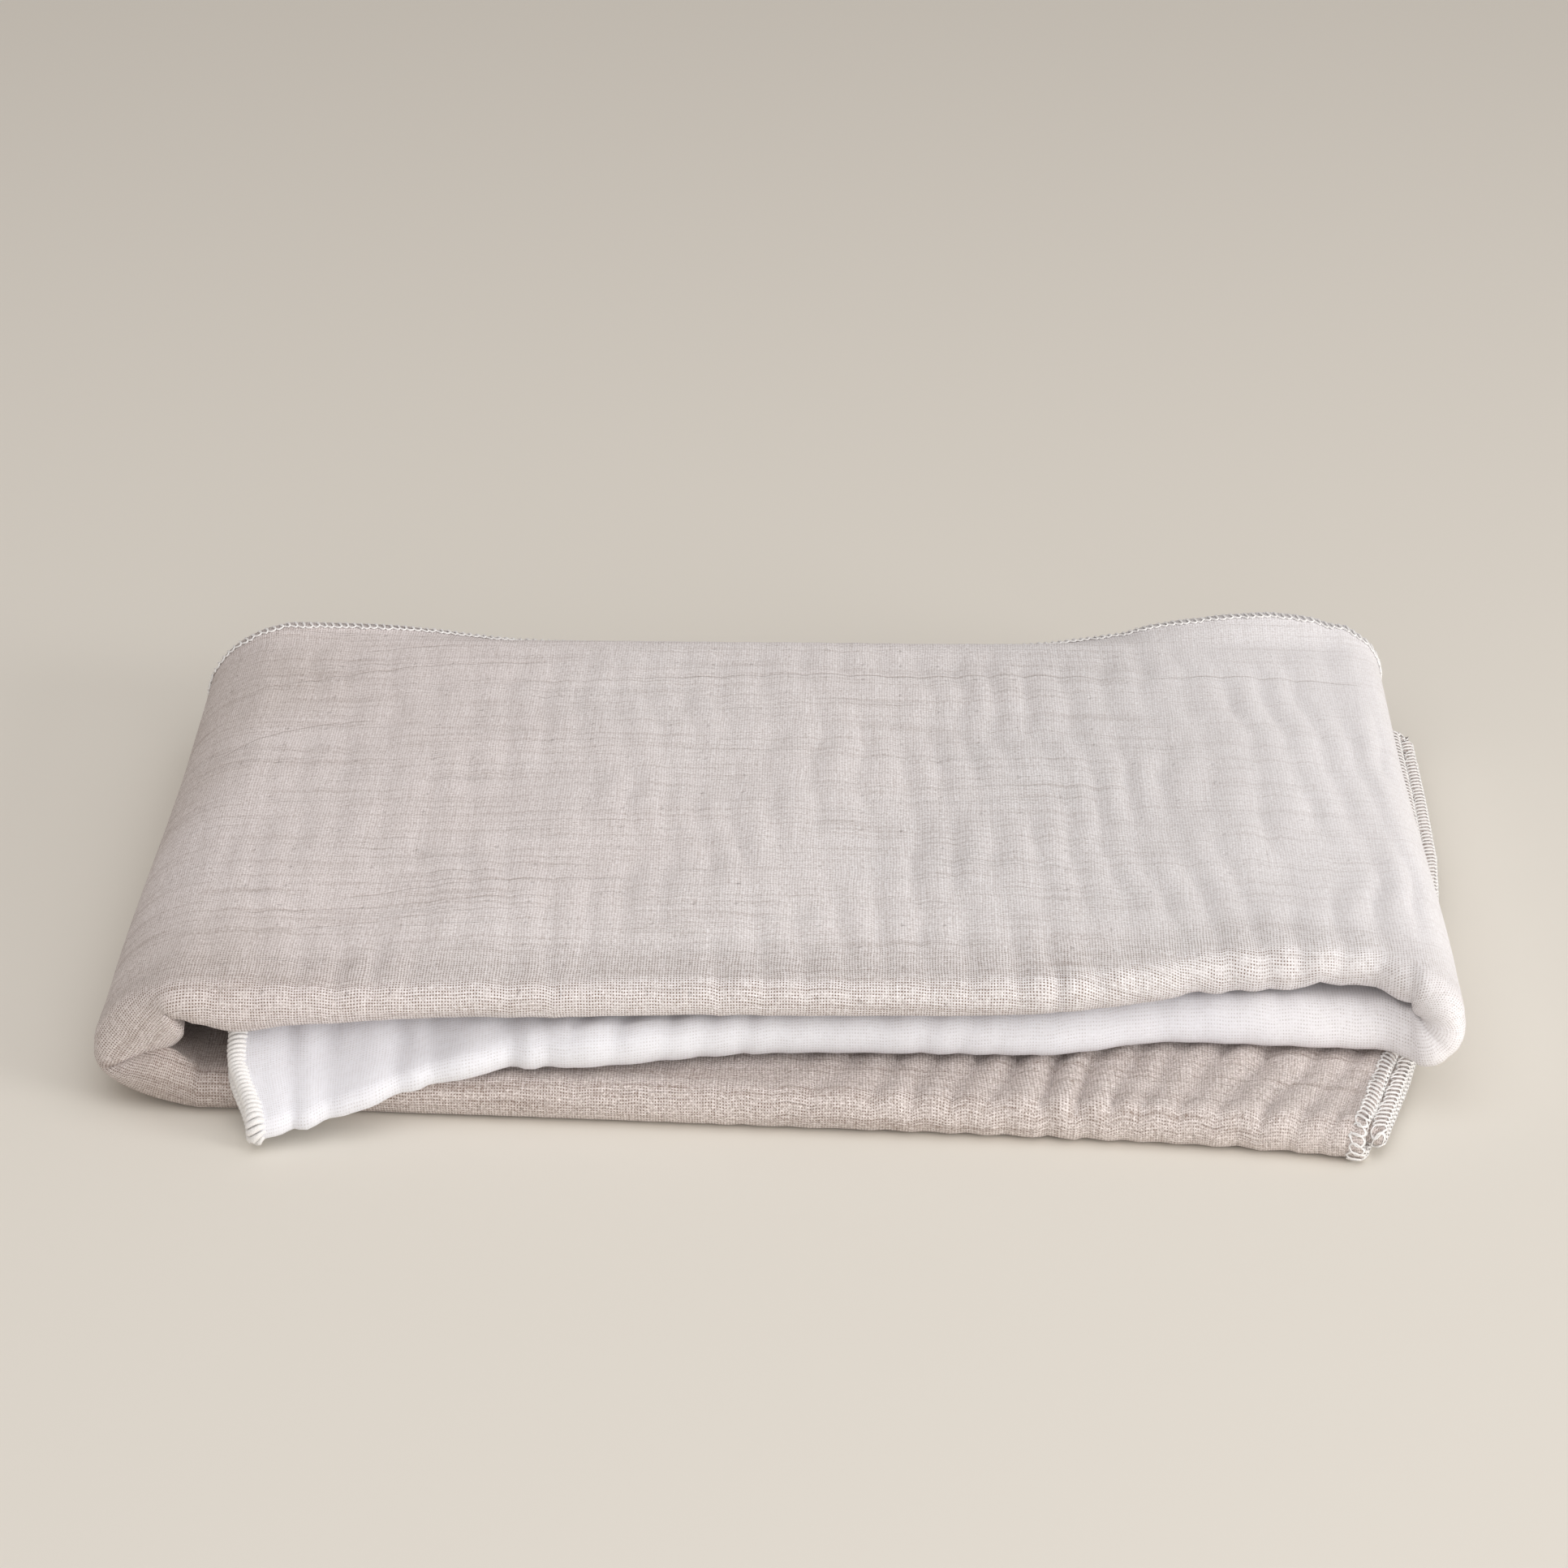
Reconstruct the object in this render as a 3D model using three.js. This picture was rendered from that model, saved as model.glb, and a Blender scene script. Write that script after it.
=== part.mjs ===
// A gauze swaddle lying folded on a table. The square of double gauze is folded in quarters across its
// width, so that a cut through it shows four nested layers with a rolled edge at the front, and that long
// strip is then folded in thirds along its length: under, over the top, and back in between.
// Millimetres. X runs to the right, Y away from the viewer, Z up. The origin is under the middle of the
// folded stack, on the table.
import * as THREE from 'three';

// The cloth and how closely its layers lie
const clothThickness = 2.8; // two crinkled plies of gauze and the air between them
const layerGap = 0.7;
const panelGap = 1.7; // between one third of the strip and the next
const layerPitch = clothThickness + layerGap;
const panelThickness = 4 * clothThickness + 3 * layerGap;
const middleFace = panelThickness + panelGap; // height of the underside of the third folded in
const topFace = 3 * panelThickness + 2 * panelGap; // height of the uppermost face

// The strip's outer face, followed from its right end, as a path in X and Z, and how far its inner face
// keeps from it where it turns
const stripStart = 192; // right end of the third that lies on the table
const stripEnd = -161; // left end of the third folded in
const leftTurn = { edgeX: -204, edgeZ: 17, reach: 32, hollowReach: 14, skew: 4 };
const rightTurn = { edgeX: 208.5, reach: 15, hollowReach: 1.6, skew: -4 };
const legs = [
  { name: 'bottom', steps: 11 },
  { name: 'left turn', steps: 10 },
  { name: 'top', steps: 13 },
  { name: 'right turn', steps: 8 },
  { name: 'middle', steps: 13 },
];

// How far the folded strip reaches, row by row. at is the leg's number plus the share of it gone.
// front and back are the Y of the rolled edge and of the outer free edge. tuck is how far the inner fold sits
// behind the rolled edge, pinch how flat the rolled edge is there and plump how much thicker. drop lowers the
// front edge, backDrop the back one, lift raises the middle.
const reach = [
  { at: 0.0, front: -157, back: 134, tuck: 1, pinch: 0, plump: 0, drop: 0, backDrop: 0, lift: 0 },
  { at: 0.12, front: -151, back: 130, tuck: 2, pinch: 0, plump: 0, drop: 0, backDrop: 0, lift: 0 },
  { at: 0.28, front: -146, back: 125, tuck: 3, pinch: 0, plump: 0, drop: 0, backDrop: 0, lift: 0 },
  { at: 0.55, front: -140, back: 120, tuck: 3, pinch: 0, plump: 0, drop: 0, backDrop: 0, lift: 0 },
  { at: 0.8, front: -135, back: 119, tuck: 2, pinch: 0, plump: 0, drop: 0, backDrop: 0, lift: 0 },
  { at: 0.965, front: -133, back: 120, tuck: 7, pinch: 0, plump: 0, drop: 0, backDrop: 0, lift: 0 },
  { at: 1.0, front: -133, back: 121, tuck: 10, pinch: 0, plump: 0.2, drop: 0, backDrop: 0, lift: 0 },
  { at: 1.1, front: -132.5, back: 121, tuck: 10, pinch: 0, plump: 2.4, drop: 0, backDrop: 0, lift: 0 },
  { at: 1.25, front: -131, back: 122, tuck: 10, pinch: 0, plump: 3.5, drop: 0, backDrop: 0, lift: 0 },
  { at: 1.5, front: -128, back: 124, tuck: 10, pinch: 0, plump: 3.5, drop: 0, backDrop: 0, lift: 0 },
  { at: 2.0, front: -134, back: 130, tuck: 10, pinch: 0, plump: 3.6, drop: 0, backDrop: -2, lift: 0.4 },
  { at: 2.08, front: -134, back: 133, tuck: 10, pinch: 0, plump: 2.6, drop: 0, backDrop: -1, lift: 1.2 },
  { at: 2.2, front: -132, back: 135, tuck: 8, pinch: 0, plump: 0.8, drop: 0, backDrop: 6, lift: 2.2 },
  { at: 2.4, front: -129, back: 136, tuck: 3, pinch: 0, plump: 0, drop: 0, backDrop: 8, lift: 2.6 },
  { at: 2.68, front: -125, back: 137, tuck: 3, pinch: 0, plump: 0, drop: 0, backDrop: 8, lift: 2.2 },
  { at: 2.78, front: -117, back: 138, tuck: 2, pinch: 0, plump: 0, drop: 0, backDrop: 4, lift: 2.6 },
  { at: 2.83, front: -110, back: 138, tuck: 2, pinch: 0, plump: 0, drop: 0, backDrop: -1, lift: 2.6 },
  { at: 2.93, front: -106, back: 138, tuck: 1, pinch: 0, plump: 0, drop: 0, backDrop: -5, lift: 1.4 },
  { at: 3.0, front: -108, back: 133, tuck: 1, pinch: 0, plump: 0, drop: 0, backDrop: -2, lift: 0.4 },
  { at: 3.5, front: -121, back: 125, tuck: 1, pinch: 0, plump: 0, drop: 0, backDrop: 0, lift: 0 },
  { at: 4.0, front: -120, back: 122, tuck: 1, pinch: 0, plump: 0, drop: 0, backDrop: 0, lift: 0 },
  { at: 4.08, front: -110, back: 121, tuck: 2, pinch: 0, plump: 0, drop: 0, backDrop: 0, lift: 0 },
  { at: 4.2, front: -107, back: 120, tuck: 2, pinch: 0, plump: 0, drop: 0, backDrop: 0, lift: 0 },
  { at: 4.32, front: -118, back: 119, tuck: 3, pinch: 0, plump: 0, drop: 0, backDrop: 0, lift: 0 },
  { at: 4.55, front: -122.5, back: 117, tuck: 3, pinch: 0, plump: 0, drop: 0, backDrop: 0, lift: 0 },
  { at: 4.7, front: -132, back: 117, tuck: 8, pinch: 0.3, plump: 0, drop: 0, backDrop: 0, lift: 0 },
  { at: 4.77, front: -133, back: 117, tuck: 14, pinch: 0.5, plump: 0, drop: 0.6, backDrop: 0, lift: 0 },
  { at: 4.86, front: -141, back: 117, tuck: 24, pinch: 0.8, plump: 0, drop: 5.4, backDrop: 0, lift: 0 },
  { at: 4.94, front: -151, back: 118, tuck: 32, pinch: 0.85, plump: 0, drop: 11.4, backDrop: 0, lift: 0 },
  { at: 5.0, front: -154, back: 118, tuck: 35, pinch: 0.8, plump: 0, drop: 13.4, backDrop: 0, lift: 0 },
];

// Where the free edges and the fold at the back lie, behind or before the outer free edge
const innerEdgeSetback = 7;
const backFoldSetback = 17;
const backDropFrom = 118; // the back edges hang down behind this line
const frontDropFrom = -127; // and the loose corner in front of this one
const rollDepth = 16; // the rolled edge grows flatter or thicker over this depth
const rollClearance = 2.2; // starting this far in front of the inner fold

// The right end slants, and the inner layers stand out of it. At the left end they stay inside.
const endSlant = { furthest: 19, cut: 36, from: 60, depth: 217, fade: 0.3 };
const innerLayersStandOut = 5;
const looseEnd = { slant: 8, setback: 4, fade: 0.12 };

// Points along the layers and round the folds. All four layers have points at the same depths.
const sharedSteps = 6;
const rollSteps = [0, 0.45, 0.9]; // shares of the way from the front fold to the inner one
const edgeSteps = [0.22, 0.5, 1]; // shares of the way from the back fold to a free edge
const outerFoldSteps = 6;
const innerFoldSteps = 3;

const ripple = { share: 0.45, acrossWave: 96, alongWaves: 3.4 }; // slow unevenness of the top

function reachAt(at) {
  const row = {};
  for (const column of Object.keys(reach[0])) {
    const places = reach.map((entry) => entry.at);
    const values = reach.map((entry) => entry[column]);
    row[column] = new THREE.LinearInterpolant(places, values, 1).evaluate(at)[0];
  }
  return row;
}

// The places of the strip's outer and inner faces in X and Z, at a place along the strip
function facesAt(at) {
  const leg = Math.min(Math.floor(at), legs.length - 1);
  const share = at - leg;
  const angle = share * Math.PI;
  const leftX = leftTurn.edgeX + leftTurn.reach;
  const rightX = rightTurn.edgeX - rightTurn.reach;
  const straight = (fromX, toX, outerZ, innerZ) => {
    const x = THREE.MathUtils.lerp(fromX, toX, share);
    return { outer: new THREE.Vector2(x, outerZ), inner: new THREE.Vector2(x, innerZ) };
  };
  const turn = (x, side, reachX, middleZ, riseZ) => new THREE.Vector2(
    x + side * reachX * Math.sin(angle),
    middleZ + riseZ * Math.cos(angle),
  );
  if (legs[leg].name === 'bottom') {
    return straight(stripStart, leftX, 0, panelThickness);
  }
  if (legs[leg].name === 'left turn') {
    const rise = angle < Math.PI / 2 ? leftTurn.edgeZ : topFace - leftTurn.edgeZ;
    return {
      outer: turn(leftX, -1, leftTurn.reach, leftTurn.edgeZ, -rise),
      inner: turn(leftX, -1, leftTurn.hollowReach, topFace / 2, panelThickness - topFace / 2),
    };
  }
  if (legs[leg].name === 'top') {
    return straight(leftX, rightX, topFace, topFace - panelThickness);
  }
  if (legs[leg].name === 'right turn') {
    const middleZ = (topFace + middleFace) / 2;
    return {
      outer: turn(rightX, 1, rightTurn.reach, middleZ, topFace - middleZ),
      inner: turn(rightX, 1, rightTurn.hollowReach, middleZ, topFace - panelThickness - middleZ),
    };
  }
  return straight(rightX, stripEnd, middleFace, middleFace + panelThickness);
}

// The middle line of the cloth in a cut across the strip: depth is along Y, and into is measured from the
// outer face towards the inside of the stack. inner is 1 on the two nested layers.
function foldedLine(row) {
  const outerLevel = clothThickness / 2;
  const innerFront = row.front + clothThickness / 2 + layerPitch + row.tuck;
  const spread = (depth) => {
    const rolled = THREE.MathUtils.smoothstep(innerFront - rollClearance - depth, 0, rollDepth);
    return layerPitch * (3 - 2 * row.pinch * rolled) + row.plump * rolled;
  };
  const outerRadius = spread(row.front) / 2;
  const innerRadius = layerPitch / 2;
  const frontBend = row.front + clothThickness / 2 + outerRadius;
  const innerBend = innerFront + innerRadius;
  const backBend = row.back - backFoldSetback - innerRadius;
  const toEdge = row.back - backBend;
  const lerp = THREE.MathUtils.lerp;
  const shared = Array.from({ length: sharedSteps + 1 }, (_, i) => lerp(innerBend, backBend, i / sharedSteps));
  const rolled = rollSteps.map((share) => lerp(frontBend, innerBend, share));
  const overhang = edgeSteps.map((share) => backBend + share * toEdge);
  const innerOverhang = overhang.slice(0, -1).concat(row.back - innerEdgeSetback);
  const line = [];
  const run = (depths, level, inner) => depths.forEach((depth) => line.push({ depth, into: level(depth), inner }));
  const fold = (centre, level, radius, side, turn, steps, inner) => {
    for (let i = 1; i < steps; i++) {
      const angle = (i / steps) * Math.PI;
      const depth = centre + side * radius * Math.sin(angle);
      line.push({ depth, into: level + turn * radius * Math.cos(angle), inner: inner(i / steps) });
    }
  };
  const first = () => outerLevel;
  const second = () => outerLevel + layerPitch;
  const third = () => outerLevel + 2 * layerPitch;
  const fourth = (depth) => outerLevel + spread(depth);
  run([...rolled, ...shared, ...overhang].reverse(), first, 0);
  fold(frontBend, outerLevel + outerRadius, outerRadius, -1, -1, outerFoldSteps, () => 0);
  run([...rolled, ...shared], fourth, 0);
  fold(backBend, outerLevel + 2.5 * layerPitch, innerRadius, 1, 1, innerFoldSteps, (share) => share);
  run([...shared].reverse(), third, 1);
  fold(innerBend, outerLevel + 1.5 * layerPitch, innerRadius, -1, 1, innerFoldSteps, () => 1);
  run([...shared, ...innerOverhang], second, 1);
  return line;
}

// How far a whole stack of layers is moved towards the inside at one place
function bendAt(row, depth) {
  const smooth = THREE.MathUtils.smoothstep;
  const frontDrop = -row.drop * smooth(-depth, -frontDropFrom, -row.front);
  const backDrop = row.backDrop * smooth(depth, backDropFrom, row.back);
  const across = (2 * depth - row.back - row.front) / (row.back - row.front);
  const crown = Math.max(0, 1 - across * across);
  const waves = Math.cos(depth / ripple.acrossWave * 2 * Math.PI + row.at * ripple.alongWaves * 2 * Math.PI);
  return frontDrop + backDrop - row.lift * crown * (1 + ripple.share * waves);
}

// How far a place is pushed along X: by the slant of either end, and by the skew of the left turn
function shiftAt(row, point) {
  const startFade = Math.max(0, 1 - row.at / endSlant.fade) ** 2;
  const slant = endSlant.furthest
    - endSlant.cut * Math.max(0, (endSlant.from - point.depth) / endSlant.depth) ** 2;
  const endFade = Math.max(0, 1 - (legs.length - row.at) / looseEnd.fade) ** 2;
  const front = THREE.MathUtils.smoothstep(-point.depth, -frontDropFrom, -row.front);
  const leftFade = Math.max(0, 1 - Math.abs(row.at - 1.5)) ** 2;
  const rightFade = Math.max(0, 1 - Math.abs(row.at - 3.5)) ** 2;
  const skew = leftFade * leftTurn.skew + rightFade * rightTurn.skew;
  return startFade * (slant + innerLayersStandOut * point.inner)
    + endFade * (looseEnd.slant * front + looseEnd.setback * point.inner)
    + skew * THREE.MathUtils.smoothstep(point.depth, -90, 60);
}

// The closed outline of the cut: the middle line set off to both sides, with a blunt round at each free edge
function outlineOf(row) {
  const line = foldedLine(row).map((point) => ({ ...point, into: point.into + bendAt(row, point.depth) }));
  const half = clothThickness / 2;
  const sides = [[], []];
  line.forEach((point, i) => {
    const before = line[Math.max(i - 1, 0)];
    const after = line[Math.min(i + 1, line.length - 1)];
    const along = new THREE.Vector2(after.depth - before.depth, after.into - before.into).normalize();
    sides.forEach((side, k) => {
      const off = k ? -half : half;
      side.push({ ...point, depth: point.depth - along.y * off, into: point.into + along.x * off });
    });
  });
  const tip = (point, direction) => ({ ...point, depth: point.depth + direction * half * 0.6 });
  return [...sides[0], tip(line.at(-1), 1), ...sides[1].reverse(), tip(line[0], 1)];
}

function ringAt(at) {
  const row = { ...reachAt(at), at };
  const { outer, inner } = facesAt(at);
  return outlineOf(row).map((point) => {
    const place = outer.clone().lerp(inner, point.into / panelThickness);
    return new THREE.Vector3(place.x + shiftAt(row, point), point.depth, place.y);
  });
}

// Rings of the cut, one after another along the strip, joined into one closed skin
function foldedCloth() {
  const places = legs.flatMap((leg, number) => (
    Array.from({ length: leg.steps }, (_, i) => number + i / leg.steps)));
  const rings = [...places, legs.length].map(ringAt);
  const size = rings[0].length;
  const vertices = rings.flat();
  const faces = [];
  for (let r = 0; r < rings.length - 1; r++) {
    for (let i = 0; i < size; i++) {
      const j = (i + 1) % size;
      const [a, b, c, d] = [r * size + i, r * size + j, (r + 1) * size + i, (r + 1) * size + j];
      // Every layer is split the same way, so that the layers stay parallel
      const backwards = rings[r][j].y > rings[r][i].y;
      faces.push(...(backwards ? [a, b, d, a, d, c] : [a, b, c, b, d, c]));
    }
  }
  // Each end is a ribbon between the two sides of the cut, from one tip to the other
  const last = (rings.length - 1) * size;
  const middleCount = (size - 2) / 2;
  const ribbon = (first, flip) => {
    const triangle = (a, b, c) => faces.push(first + a, first + (flip ? c : b), first + (flip ? b : c));
    const opposite = (i) => 2 * middleCount - i;
    for (let i = 0; i < middleCount - 1; i++) {
      triangle(i, opposite(i), i + 1);
      triangle(i + 1, opposite(i), opposite(i + 1));
    }
    triangle(middleCount - 1, opposite(middleCount - 1), middleCount);
    triangle(0, size - 1, opposite(0));
  };
  ribbon(0, false);
  ribbon(last, true);
  const geometry = new THREE.BufferGeometry().setFromPoints(vertices);
  geometry.setIndex(faces);
  geometry.computeBoundingBox();
  const middle = geometry.boundingBox.getCenter(new THREE.Vector3());
  geometry.translate(-middle.x, -middle.y, 0);
  geometry.computeVertexNormals();
  return geometry;
}

const gauze = new THREE.MeshStandardMaterial({ color: 0xd6ccc9, roughness: 0.95, metalness: 0 });

const swaddle = new THREE.Group();
const cloth = new THREE.Mesh(foldedCloth(), gauze);
cloth.name = 'swaddle_cloth';
swaddle.add(cloth);

export default swaddle;
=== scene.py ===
import math
import bpy
import numpy as np
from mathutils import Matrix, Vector


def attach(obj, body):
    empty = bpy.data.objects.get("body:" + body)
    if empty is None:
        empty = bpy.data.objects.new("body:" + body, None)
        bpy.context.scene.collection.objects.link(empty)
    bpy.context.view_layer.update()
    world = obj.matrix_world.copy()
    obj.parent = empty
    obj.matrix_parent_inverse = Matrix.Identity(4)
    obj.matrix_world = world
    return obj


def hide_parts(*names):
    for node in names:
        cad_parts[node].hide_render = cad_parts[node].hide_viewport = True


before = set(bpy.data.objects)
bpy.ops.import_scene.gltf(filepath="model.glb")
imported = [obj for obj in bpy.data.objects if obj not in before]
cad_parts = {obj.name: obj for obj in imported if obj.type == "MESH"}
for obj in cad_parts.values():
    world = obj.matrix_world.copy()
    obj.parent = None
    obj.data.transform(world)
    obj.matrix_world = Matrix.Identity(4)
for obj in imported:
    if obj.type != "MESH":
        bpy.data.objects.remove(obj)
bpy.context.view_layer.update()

mm = 0.001

# The fold tables run in millimetres from the middle of the top third, not from the middle of the part
tableMiddle = (6.0, -9.1)


def linear(hexColour):
    rgb = [int(hexColour[i:i + 2], 16) / 255 for i in (1, 3, 5)]
    return tuple(c / 12.92 if c <= 0.04045 else ((c + 0.055) / 1.055) ** 2.4 for c in rgb) + (1.0,)


def smoothStep(x, low, high):
    share = np.clip((x - low) / np.maximum(high - low, 1e-6), 0, 1)
    return share * share * (3 - 2 * share)


# The camera stands where the photograph was taken from
cameraSpec = {
    "place": (22.0, -1380.9, 726.0),  # mm
    "down": 26.0,  # degrees
    "left": 1.08,
    "lens": 110.8,
    "sensor": 36.0,
    "clip": (0.05, 20.0),  # m
}
bpy.ops.object.select_all(action="DESELECT")
bpy.ops.object.camera_add(
    location=[c * mm for c in cameraSpec["place"]],
    rotation=(math.radians(90 - cameraSpec["down"]), 0, math.radians(cameraSpec["left"])))
camera = bpy.context.object
camera.name = "photo_camera"
camera.data.lens = cameraSpec["lens"]
camera.data.sensor_width = cameraSpec["sensor"]
camera.data.clip_start, camera.data.clip_end = cameraSpec["clip"]
bpy.context.scene.camera = camera
print("camera placed")

# The cloth is folded in quarters across and in thirds along. A place along the folded strip is the number of
# its leg and a share of it: 0 is the bottom third, 1 the left turn, 2 the top, 3 the right turn and 4 the
# middle third, which ends in the loose flap. All sizes are in mm.
clothSpec = {
    "thickness": 2.8,  # of a layer in the solids
    "shown": 2.3,  # and of the sheet that is laid in it
    "layerGap": 0.7,
    "panelGap": 1.7,
    "start": 192.0,
    "end": -161.0,
    "leftEdge": -204.0, "leftEdgeZ": 17.0, "leftReach": 32.0, "hollowReach": 14.0, "leftSkew": 4.0,
    "rightEdge": 208.5, "rightReach": 15.0, "rightHollow": 1.6, "rightSkew": -4.0,
    "skewFrom": (-90.0, 60.0),
    "innerSetback": 7.0,
    "backFoldSetback": 17.0,
    "backDropFrom": 118.0,
    "frontDropFrom": -127.0,
    "flapFrom": -108.0,
    "flapCurve": 1.6,
    "noseFrom": (100.0, 118.0),  # in front of the middle
    "rollDepth": 16.0,
    "rollClearance": 2.2,
    "flat": (0.96, 1.21),  # m
}
layerPitch = clothSpec["thickness"] + clothSpec["layerGap"]
panelThickness = 4 * clothSpec["thickness"] + 3 * clothSpec["layerGap"]
middleFace = panelThickness + clothSpec["panelGap"]
topFace = 3 * panelThickness + 2 * clothSpec["panelGap"]

# The puffs of the double gauze and what they do to the edges they end in
puffSpec = {
    "apart": 12.7,  # the two plies are tacked together this far apart
    "lean": 0.07, "lowerLean": 0.29,  # how far the puffs slant, and how much more in the lower thirds
    "wander": ((0.20, 95, 3), (0.10, 34, 4)),  # share of a puff, wavelength and seed
    "round": 0.8, "sunk": 0.64,
    "uneven": (0.7, 0.45, 60, 5),  # middle, swing, wavelength and seed
    "least": 0.25, "lowerLeast": 0.35, "most": 1.6,
    "edgeLine": -120.0,  # where the puffs are measured that ruffle the front edge
    # how high they stand, and how far they wave the front edges and the rolls, by place along the strip
    "heights": ((0, 2.2), (0.12, 3.4), (0.4, 3.0), (0.6, 1.6), (0.8, 0.6), (1.2, 0.6), (1.8, 0.7), (2.1, 0.9),
                (2.4, 1.1), (2.6, 1.5), (2.9, 1.6), (3.3, 1.0), (3.9, 0.9), (4.2, 1.5), (4.6, 1.8), (4.8, 2.8),
                (5, 2.2)),
    "edgeWaves": ((0, 0.8), (0.1, 1.2), (0.5, 0.9), (0.8, 0.4), (2, 0.2), (2.55, 0.5), (2.75, 1.6), (2.95, 1.6),
                  (3.2, 0.6), (4, 0.6), (4.3, 0.8), (4.6, 1.8), (4.8, 0.8), (5, 0.4)),
    "rollWaves": ((0, 0.4), (0.5, 0.4), (1, 0), (2, 0.2), (2.4, 0.5), (2.7, 0.9), (2.95, 0.6), (3.2, 0.4), (4, 0),
                  (5, 0)),
    # how far the underside of the white roll reaches forward on what it lies on
    "lip": ((0, 0), (3.0, 0), (3.5, 4), (3.9, 8), (4.05, 8), (4.25, 7), (4.4, 3), (4.55, 1), (4.65, 0), (5, 0)),
    "upFrom": (1.0, 1.6), "upTo": (3.6, 4.0),  # where along the strip the outer face looks up
    "topFrom": (1.75, 2.05), "topTo": (3.05, 3.3),
    "frontFrom": (86, 112),  # the lower thirds show only their front
    "passedOn": 0.6,  # how much of a puff the face beneath takes over
    "backFrom": (98, 122), "backFlatter": 0.8,
    "lobesFrom": 2.7, "lobesTo": 3.0, "lobeDepth": 14.0,
    "flap": (4.62, 4.76), "flapFlatter": 0.6, "flapOut": 2.4, "flapUp": 0.6,
    "slow": ((0.5, 70, 8), (0.12, 24, 9)),  # slow waves of the top: height, wavelength and seed
}
waveSpec = {"count": 9, "turn": 1.5, "lengths": (0.7, 1.5)}

# Where the folded strip lies, as the solids have it, with a few more rows for the small waves of its edges
reachColumns = ("front", "back", "tuck", "pinch", "plump", "drop", "backDrop", "lift")
reachRows = (
    (0.00, -157.0, 134, 1, 0.0, 0.0, 0.0, 0.0, 0.0),
    (0.12, -151.5, 130, 2, 0.0, 0.0, 0.0, 0.0, 0.0),
    (0.28, -146.5, 125, 3, 0.0, 0.0, 0.0, 0.0, 0.0),
    (0.55, -140.5, 120, 3, 0.0, 0.0, 0.0, 0.0, 0.0),
    (0.80, -135.5, 119, 2, 0.0, 0.0, 0.0, 0.0, 0.0),
    (0.965, -133.0, 120, 7, 0.0, 0.0, 0.0, 0.0, 0.0),
    (1.00, -133.0, 121, 10, 0.0, 0.2, 0.0, 0.0, 0.0),
    (1.10, -132.5, 121, 12, 0.0, 2.4, 0.0, 0.0, 0.0),
    (1.25, -131.0, 122, 14, 0.0, 3.5, 0.0, 0.0, 0.0),
    (1.50, -128.0, 124, 14, 0.0, 3.5, 0.0, 0.0, 0.0),
    (1.96, -133.5, 129, 12, 0.0, 0.4, 0.0, -1.6, 0.3),
    (2.00, -134.0, 130, 12, 0.0, 1.2, 0.0, -2.0, 0.5),
    (2.035, -134.0, 131, 12, 0.0, 4.7, 0.0, -1.6, 0.8),
    (2.08, -134.0, 132, 10, 0.0, 1.4, 0.0, -0.8, 1.2),
    (2.13, -133.5, 134, 9, 0.0, -0.4, 0.0, 1.8, 1.8),
    (2.22, -132.0, 135, 8, 0.0, -2.0, 0.0, 6.2, 2.2),
    (2.40, -129.0, 136, 3, 0.0, -2.0, 0.0, 8.0, 2.6),
    (2.68, -125.5, 137, 3, 0.0, -0.8, 0.0, 8.0, 2.2),
    (2.78, -117.0, 138, 2, 0.0, -0.8, 0.0, 4.0, 2.6),
    (2.83, -110.0, 138, 2, 0.0, -1.2, 0.0, -1.0, 2.6),
    (2.93, -106.0, 138, 1, 0.0, 0.4, 0.0, -5.0, 1.4),
    (2.97, -107.0, 136, 1, 0.0, 0.6, 0.0, -4.0, 0.8),
    (2.99, -113.0, 134, 3, 0.0, 3.4, 0.0, -2.6, 0.5),
    (3.05, -119.0, 132, 5, 0.0, 5.0, 0.0, -1.6, 0.3),
    (3.50, -122.0, 125, 4, 0.0, 2.0, 0.0, 0.0, 0.0),
    (3.96, -120.5, 122, 2, 0.0, 0.0, 0.0, 0.0, 0.0),
    (4.00, -117.0, 122, 1, 0.0, 0.0, 0.0, 0.0, 0.0),
    (4.02, -110.5, 122, 1, 0.0, 0.0, 0.0, 0.0, 0.0),
    (4.08, -109.0, 121, 2, 0.0, 0.0, 0.0, 0.0, 0.0),
    (4.20, -107.0, 120, 2, 0.0, 0.0, 0.0, 0.0, 0.0),
    (4.32, -118.0, 119, 3, 0.0, 0.0, 0.0, 0.0, 0.0),
    (4.55, -122.5, 117, 3, 0.0, 0.0, 0.0, 0.0, 0.0),
    (4.70, -132.0, 117, 8, 0.3, 0.0, 0.0, 0.0, 0.0),
    (4.77, -133.0, 117, 14, 0.5, 0.0, 0.6, 0.0, 0.0),
    (4.86, -141.0, 117, 24, 0.8, 0.0, 5.4, 0.0, 0.0),
    (4.94, -151.0, 118, 32, 0.85, 0.0, 11.4, 0.0, 0.0),
    (5.00, -154.0, 118, 35, 0.8, 0.0, 13.4, 0.0, 0.0),
)

# The slanting right end and the loose left end
endSpec = {"furthest": 19.0, "cut": 36.0, "from": 60.0, "depth": 217.0, "fade": 0.3, "standOut": 5.0,
           "looseSlant": 8.0, "looseSetback": 4.0, "looseFade": 0.12}

# The crease at the left turn: the hollow's edge in front, as X and Z at a place along the turn
noseCrease = ((0.00, -172.0, 14.6), (0.18, -183.0, 17.6), (0.33, -190.5, 15.8), (0.44, -195.5, 12.8),
              (0.50, -195.0, 13.8), (0.62, -187.5, 17.6), (0.74, -179.5, 21.2), (0.84, -176.0, 25.2),
              (0.92, -180.0, 31.0), (1.00, -172.0, 30.6))

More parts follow.
